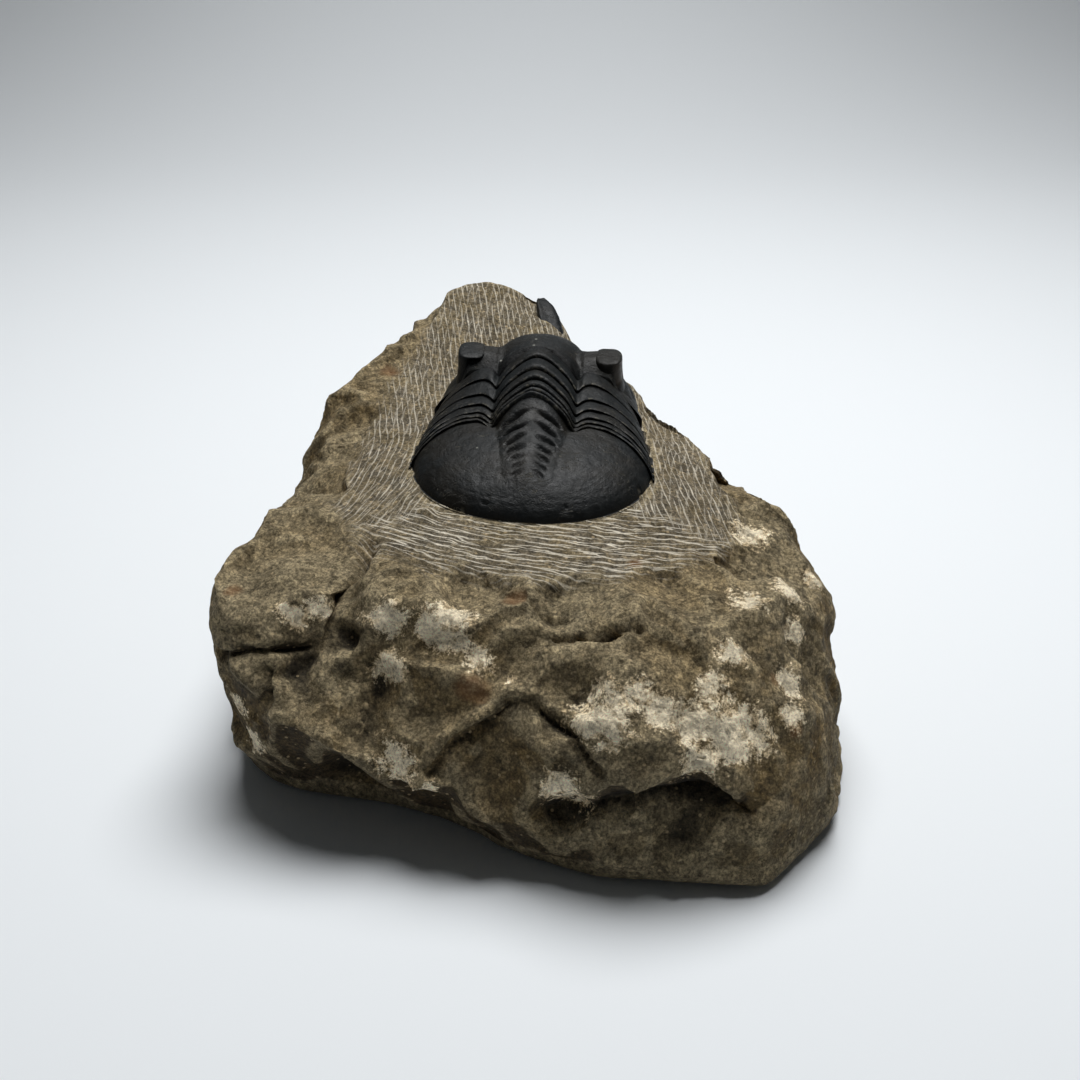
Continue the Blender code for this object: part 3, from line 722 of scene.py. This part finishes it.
def buildRing(number, rearV, frontV, finish):
    # the section carried from tip to tip along the seam, its lift strongest on the middle lobe
    tip = float(halfWidth(np.clip((rearV + frontV) / 2 - 2.4, -1, 17))) + 0.25
    u = tip * np.sin(np.linspace(-1, 1, rings["across"]) * math.pi / 2)
    share, lift = np.array(rings["section"]).T
    plate = min(frontV - rearV, rings["edgeLength"])
    axisV = np.where(share < 0.4, rearV + share * plate, frontV - (1 - share) * plate)
    side = np.abs(u)
    lobe = ease(7.2, 5.6, side)
    tips = ease(13.5, 16.5, side)
    flank = ease(10.5, 13.5, side)
    tail = ease(9, 4, rearV)
    outer = rings["flankLift"] * (1 - tips) + rings["tipLift"] * tips * tail
    pleura = rings["pleuraLift"] * (1 - flank) + outer * flank
    strength = 1.15 * lobe + (1 - lobe) * pleura
    gridU, gridAxis = np.broadcast_arrays(u[:, None], axisV[None])
    v = jointLine(gridU, gridAxis)
    base = archHeight(gridU, gridAxis)
    noisePlace = joined(gridU, gridAxis, number * 7)
    wobble = 0.16 * layered(noisePlace, 2.4, 2, 400 + number) * ease(2, 6, number)
    top = lift > -1.4
    least = (0.30 - 0.17 * flank)[:, None]
    strength = np.where(lift[None] < 0, np.maximum(strength[:, None], least), strength[:, None])
    w = base + lift[None] * strength + wobble * top
    w = np.maximum(w, -rings["sink"] - 0.3 * (~top))
    w = np.where(side[:, None] > tip - 0.4, np.minimum(w, 0.9), w)
    points = placed(gridU, v, w).reshape(-1, 3)
    count = len(share)
    points = np.vstack([points, points[:count].mean(0), points[-count:].mean(0)])
    spreadOut = np.ones_like(gridU)
    # each plate's back edge gets a painted highlight; the parts tucked under the next plate, and the closing points,
    # get painted shade
    makeShell(
        f"thorax_ring_{number}", points, tubeFaces(len(u), count), finish, [f"thorax_segment_{number}"],
        growth=np.append(gridAxis, [0, 0]),
        worn=np.append(bell(share[None] / 0.12) * spreadOut, [0, 0]),
        deep=np.append(ease(-0.05, -0.5, lift)[None] * spreadOut, [1, 1]))


def closedShield(name, shield, outline, height, finish, replaced):
    # rings draw in from the free edge to the middle above, and a buried rim and floor close it below
    middle, counts = np.array(shield["middle"], float), shield["inward"]
    share = np.sin(np.linspace(0, 1, counts + 1)[1:] * math.pi / 2)[::-1]
    plan = middle + share[:, None, None] * (outline - middle)
    w, worn, deep = height(plan[..., 0], plan[..., 1])
    top = placed(plan[..., 0], plan[..., 1], w)
    rim = placed(outline[:, 0], outline[:, 1], animal["shieldFloor"])
    peakHeight = height(middle[:1], middle[1:])[0]
    peak, floor = placed(*middle, peakHeight[0]), placed(*middle, animal["shieldFloor"])
    count = len(outline)
    points = np.vstack([rim, top.reshape(-1, 3), peak, floor])
    faces = [ringFaces(counts + 1, count)[:, ::-1],
             fan(counts * count, (counts + 1) * count, count, True),
             fan(0, (counts + 1) * count + 1, count, False)]
    # the buried rim gets painted shade
    rimMark, poles = np.zeros(count), [0, 0]
    makeShell(
        name, points, faces, finish, replaced,
        growth=np.concatenate([rimMark, np.linalg.norm(plan - middle, axis=-1).ravel(), poles]),
        worn=np.concatenate([rimMark, worn.ravel(), poles]),
        deep=np.concatenate([rimMark + 1, deep.ravel(), poles]))


tailShield = dict(
    around=420, inward=92, middle=(0, -3), dome=6.6, frontV=1.2,
    lobeFront=5.6, lobeBack=3, lobeLength=17, lobeHigh=3.7, lobeLow=0.45,
    furrows=(-0.7, -3.1, -5.4, -7.5, -9.4, -11.1, -12.6), furrowDepth=1, furrowWidth=0.36, slant=0.42,
    scar=(-4.4, -15.4, 3.2, 2.2), scarDepth=0.08)


def tailHeight(u, v):
    # low dome, tapering middle lobe cut by slanting furrows, terraces at the margin, one broken scar
    tail = tailShield
    over, way = animal["tailPowers"]
    back = np.clip(tail["frontV"] - v, 0, None) / (tail["frontV"] - animal["tail"])
    reach = (np.abs(u) / animal["halfWidth"]) ** over + back ** way
    dome = tail["dome"] * unit(1 - reach) ** 0.56
    along = np.clip((tail["frontV"] - v) / tail["lobeLength"], 0, 1.2)
    half = tail["lobeFront"] + (tail["lobeBack"] - tail["lobeFront"]) * along
    rise = (tail["lobeLow"] + (tail["lobeHigh"] - tail["lobeLow"]) * unit(1 - along) ** 2.6) * ease(1.12, 0.8, along)
    side = np.abs(u)
    lobe = rise * unit(1 - (side / (half + 0.6)) ** 2) ** 0.9
    point = joined(u, v, 0)
    lobe -= 0.10 * bell((side - half - 0.3) / 0.9) * ease(0.9, 0.3, along)
    chevron = v + tail["slant"] * side + 0.30 * ripple(point, 2.2, 501)
    cut = np.zeros_like(u)
    for k, at in enumerate(tail["furrows"]):
        length = half * (0.98 - 0.035 * k) + 0.6 * ripple(point + k, 3, 505)
        window = ease(0.3, 2.2, side) * ease(0.35, -0.9, side - length)
        wide = tail["furrowWidth"] * (0.75 + 0.45 * window)
        cut += (0.12 + 0.88 * window) * ease(0.8, -0.2, side - length) * bell((chevron - at) / wide) * (1 - 0.09 * k)
    x, y, a, b = tail["scar"]
    scar = ease(1.05, 0.90, ((u - x) / a) ** 2 + ((v - y) / b) ** 2 + 0.6 * layered(point, 2.2, 3, 530))
    terrace = np.sin((reach + 0.03 * layered(point, 5, 2, 545)) * 70) * ease(0.55, 0.9, reach)
    w = dome + lobe - tail["furrowDepth"] * cut - tail["scarDepth"] * scar
    w += 0.08 * layered(point, 3.5, 5, 540) + 0.07 * scar * layered(point, 0.9, 2, 550) + 0.015 * terrace
    nick = ease(0.58, 0.72, layered(point, 2, 2, 560)) * ease(0.80, 0.95, reach)
    w = np.maximum(w - 0.7 * nick, -0.4)
    worn = unit(0.8 * nick + 0.5 * scar * ease(0.3, 0, np.abs(scar - 0.5)) + 0.1 * bell((reach - 1) / 0.05))
    # nicks and the scar's edge come back as wear, the margin paler; the furrows as painted shade
    return w, worn, unit(cut)


def tailOutline():
    # rounded half box round the back, then across the seam with the last ring, tucked under it
    over, way = animal["tailPowers"]
    start = animal["halfWidth"] - 0.12
    corner = float(jointLine(start, tailShield["frontV"])) + 0.3
    low = math.asin(min(max(corner / animal["tail"], 0), 1) ** (way / 2))
    bend = np.linspace(math.pi - low, low, 281)
    u = animal["halfWidth"] * np.abs(np.cos(bend)) ** (2 / over) * np.sign(np.cos(bend))
    edge = np.stack([u, animal["tail"] * np.abs(np.sin(bend)) ** (2 / way)], 1)
    across = np.linspace(edge[-1, 0], edge[0, 0], tailShield["around"] - 279)[1:-1]
    return np.vstack([edge, np.stack([across, jointLine(across, tailShield["frontV"]) + 0.55], 1)])


headShield = dict(
    around=440, inward=110, middle=(0, 22), cheek=7.2, glabella=4, borderAt=0.86, borderDepth=0.35,
    eyeAt=(11.6, 19.2), shelf=9.35, shelfHalf=12.6)


def headHeight(u, v):
    # cheeks fall to the margin; the glabella swells; a level shelf runs out from it to each eye
    head = headShield
    reach = unit((v - 17) / (animal["head"] - 17))
    width = np.maximum(halfWidth(v), 1)
    across = np.abs(u)
    side = unit(across / width)
    front = np.sqrt(unit(1 - reach ** 2.4))
    cheek = head["cheek"] * (1 - side ** 2.7) ** 0.6 * front
    swell = (u / (6.9 + 4.4 * np.clip(reach, 0, 0.5))) ** 2 + (np.clip(reach - 0.08, 0, None) / 0.66) ** 2
    glabella = head["glabella"] * unit(1 - swell) ** 0.6
    glabella += 0.5 * ease(17.8, 16.6, v) * ease(6.6, 5.2, across)
    w = cheek + glabella - 0.30 * bell((np.sqrt(swell) - 1) / 0.10)
    shelf = ease(head["shelfHalf"] + 0.9, head["shelfHalf"] - 0.5, across) * ease(4.8, 7.6, across)
    shelf *= ease(13.2, 18.6, v) * ease(25, 20.5, v - 0.15 * (across - 9))
    w = w + shelf * np.maximum(head["shelf"] - w, 0)
    inward = np.maximum(side ** 2.2, reach ** 2.4)
    border = head["borderDepth"] * bell((inward - head["borderAt"]) / 0.045) * ease(0.02, 0.2, reach)
    point = joined(u, v, 3)
    w = w - border + 0.06 * layered(point, 3, 4, 610)
    worn = 0.35 * bell((inward - 1) / 0.06)
    # the outer margin comes back paler; the groove behind the glabella as painted shade
    return np.maximum(w, 0.25), unit(worn), ease(17.1, 16.7, v) * ease(7, 6, across)


def headOutline():
    # rounded front edge, then back across the seam, lapping a little over the first ring
    start = float(halfWidth(14.5))
    corner = float(jointLine(start, animal["joints"][-1])) - 0.2
    bend = np.linspace(0, math.pi, 281)
    v = corner + (animal["head"] - corner) * np.sin(bend)
    u = halfWidth(np.maximum(v, 14.5)) * np.where(bend < math.pi / 2, 1, -1)
    u[len(bend) // 2] = 0
    edge = np.stack([u, v], 1)
    across = np.linspace(-start, start, headShield["around"] - 279)[1:-1]
    return np.vstack([edge, np.stack([across, jointLine(across, animal["joints"][-1]) - 0.35], 1)])


eyes = dict(
    around=112, size=(2.35, 3.1),
    # height over the seat and share of full width, foot to lid
    profile=[(2.6, 1.30), (4, 1.18), (5.4, 1.08), (6.6, 1.02), (7.6, 1), (8.4, 1), (8.95, 0.985),
             (9.25, 0.95), (9.42, 0.85), (9.50, 0.6), (9.50, 0.3)],
    steps=5, squareness=2.9,
    dents=dict(left=((0.75, -1), 7.6, 1, 0.9), right=((1, -0.55), 7.4, 1.5, 0.18)),
    dentMarks=dict(left=(0, 1), right=(0.7, 0)))


def buildEye(handName, hand, finish):
    # a rounded box: its outline scaled up the profile, closed by a nearly level lid, one dent in its side
    profile = np.array(eyes["profile"])
    steps = np.arange((len(profile) - 1) * eyes["steps"] + 1) / eyes["steps"]
    high, wide = [relaxed(np.interp(steps, np.arange(len(profile)), column), 3) for column in profile.T]
    a = np.arange(eyes["around"]) * turn / eyes["around"]
    power = eyes["squareness"]
    box = (np.abs(np.cos(a)) ** power + np.abs(np.sin(a)) ** power) ** (-1 / power)
    ring = np.stack([np.cos(a) * eyes["size"][0], np.sin(a) * eyes["size"][1]], 1) * box[:, None]
    x, y = headShield["eyeAt"]
    u = hand * x + wide[:, None] * ring[None, :, 0]
    v = y + wide[:, None] * ring[None, :, 1]
    w = np.broadcast_to(high[:, None], u.shape)
    (du, dv), dw, size, depth = eyes["dents"][handName]
    facing = np.array([du, dv]) / math.hypot(du, dv)
    out = ring / np.linalg.norm(ring, axis=1, keepdims=True)
    turned = (out @ facing)[None]
    dent = ease(0.62, 0.86, turned) * ease(size + 0.5, size, np.abs(w - dw))
    u = u - depth * dent * out[None, :, 0]
    v = v - depth * dent * out[None, :, 1]
    w = w + 0.07 * layered(joined(u, v, w), 1.6, 2, 700)
    points = placed(u, v, w)
    rows, count = u.shape
    lid = points[-1].mean(0)
    foot = placed(hand * x, y, 1.6)
    points = np.vstack([points.reshape(-1, 3), lid, foot])
    faces = [ringFaces(rows, count)[:, ::-1], fan((rows - 1) * count, rows * count, count, True),
             fan(0, rows * count + 1, count, False)]
    # the right eye's dent shows lens colour, the left one's gets painted shade
    lensShare, paintedShadeShare = eyes["dentMarks"][handName]
    makeShell(
        f"eye_{handName}", points, faces, finish, (), growth=np.append(w, [0, 0]),
        deep=np.append(paintedShadeShare * dent, [0, 0]), lens=np.append(lensShare * dent, [0, 0]))


strip = dict(
    path=[
        (0.3, 52.8, 49.3), (1.1, 50.4, 48.5), (1.8, 47.9, 47.1), (2.5, 45.2, 45.5), (3.2, 42.3, 43.7),
        (3.8, 39.8, 42.4)],
    out=(0.45, -0.45, 0.80), alongSteps=90, aroundSteps=48, halfWide=2.3, high=0.9, sink=1.8)


def buildStrip(finish):
    # a flattened tube with two ridges along it, following its path and tapering at both ends
    path = np.array(strip["path"], float)
    t = np.linspace(0, len(path) - 1, strip["alongSteps"])
    spineLine = relaxed(np.stack([np.interp(t, np.arange(len(path)), path[:, k]) for k in range(3)], 1), 12)
    ahead = np.gradient(spineLine, axis=0)
    ahead /= np.linalg.norm(ahead, axis=1, keepdims=True)
    out = np.array(strip["out"]) - (ahead @ np.array(strip["out"]))[:, None] * ahead
    out /= np.linalg.norm(out, axis=1, keepdims=True)
    across = np.cross(ahead, out)
    a = np.arange(strip["aroundSteps"]) * turn / strip["aroundSteps"]
    grow = unit(np.sin(np.linspace(0.04, 0.96, len(t)) * math.pi)) ** 0.45
    ridge = 1 + 0.28 * np.cos(3 * a) * (np.sin(a) > 0)
    x = strip["halfWide"] * np.cos(a)[None] * grow[:, None]
    y = np.where(np.sin(a) > 0, strip["high"], strip["sink"])[None] * (np.sin(a) * ridge)[None] * grow[:, None]
    points = spineLine[:, None] + x[..., None] * across[:, None] + y[..., None] * out[:, None]
    points += 0.12 * layered(points, 2, 2, 800)[..., None] * out[:, None]
    ends = [points[0].mean(0), points[-1].mean(0)]
    makeShell(
        "shell_strip", np.vstack([points.reshape(-1, 3), ends]), tubeFaces(*x.shape), finish, ["shell_fragment"],
        growth=np.append(x, [0, 0]))


studio = dict(
    target=(0, 0, 25), distance=250, elevation=28, fieldOfView=40,
    floorHex="#e8ecef", floorFlat=0.34, sweepRadius=0.55, floorHalf=1.6,
    keyPlace=(0.05, 0.13, 0.54), keySize=0.40, keyPower=2.25,
    fillPlace=(0, 0.50, 0.40), fillSize=0.3, fillPower=0.25, spread=140, worldStrength=0.06, worldHex="#e9eff3")


def aimed(place, at):
    # turns an object's -Z axis from its place to a point
    return (Vector(at) - Vector(place)).to_track_quat("-Z", "Y").to_euler()


def buildStage():
    # a floor that sweeps up behind: flat, then a quarter circle, then straight up
    flat, radius, half = studio["floorFlat"], studio["sweepRadius"], studio["floorHalf"]
    arc = np.linspace(0, math.pi / 2, 33)
    y = np.concatenate([[-half], flat + radius * np.sin(arc), [flat + radius]])
    z = np.concatenate([[0], radius * (1 - np.cos(arc)), [radius + 0.8]])
    x = np.array([-half, half])
    points = joined(x[None], y[:, None], z[:, None] - 0.00005).reshape(-1, 3)
    k = np.arange(len(y) - 1)[:, None] * 2
    faces = np.hstack([k, k + 1, k + 3, k + 2])
    mesh = bpy.data.meshes.new("sweep")
    mesh.from_pydata(points.tolist(), [], faces.tolist())
    mesh.shade_smooth()
    finish, _, shader = newFinish("mattPaper")
    shader.inputs["Base Color"].default_value = hexColour(studio["floorHex"])
    shader.inputs["Roughness"].default_value = 0.75
    shader.inputs["Specular IOR Level"].default_value = 0.2
    mesh.materials.append(finish)
    placeObject("sweep", mesh)


def addLight(name, place, size, power, at=(0, 0, 0.02)):
    lamp = bpy.data.lights.new(name, "AREA")
    lamp.shape = "DISK"
    lamp.size = size
    lamp.energy = power
    lamp.spread = math.radians(studio["spread"])
    holder = placeObject(name, lamp)
    holder.location = place
    holder.rotation_euler = aimed(place, at)


def buildStudio():
    buildStage()
    addLight("softboxAbove", studio["keyPlace"], studio["keySize"], studio["keyPower"])
    addLight("backdropWash", studio["fillPlace"], studio["fillSize"], studio["fillPower"], (0, 0.62, 0))
    world = bpy.data.worlds.new("softRoom")
    world.use_nodes = True
    back = world.node_tree.nodes["Background"]
    back.inputs["Color"].default_value = hexColour(studio["worldHex"])
    back.inputs["Strength"].default_value = studio["worldStrength"]
    bpy.context.scene.world = world
    lens = bpy.data.cameras.new("view")
    lens.sensor_width = 36
    lens.lens = 18 / math.tan(math.radians(studio["fieldOfView"] / 2))
    lens.clip_start, lens.clip_end = 0.01, 20
    camera = placeObject("view", lens)
    target = (np.array(studio["target"]) - homePoint) * mm
    tilt = math.radians(studio["elevation"])
    camera.location = target + np.array([0, -math.cos(tilt), math.sin(tilt)]) * studio["distance"] * mm
    camera.rotation_euler = aimed(camera.location, target)
    bpy.context.scene.camera = camera
    bpy.context.scene.view_settings.view_transform = "Standard"


buildStudio()
stone = stoneFinish()
shell = shellFinish()
print("finishes ready")
buildRock(stone)
for index in range(len(animal["joints"]) - 1):
    buildRing(len(animal["joints"]) - 1 - index, animal["joints"][index], animal["joints"][index + 1], shell)
closedShield("tail_shield", tailShield, tailOutline(), tailHeight, shell, ["pygidium"])
closedShield("head_shield", headShield, headOutline(), headHeight, shell, ["cephalon"])
buildEye("left", -1, shell)
buildEye("right", 1, shell)
buildStrip(shell)
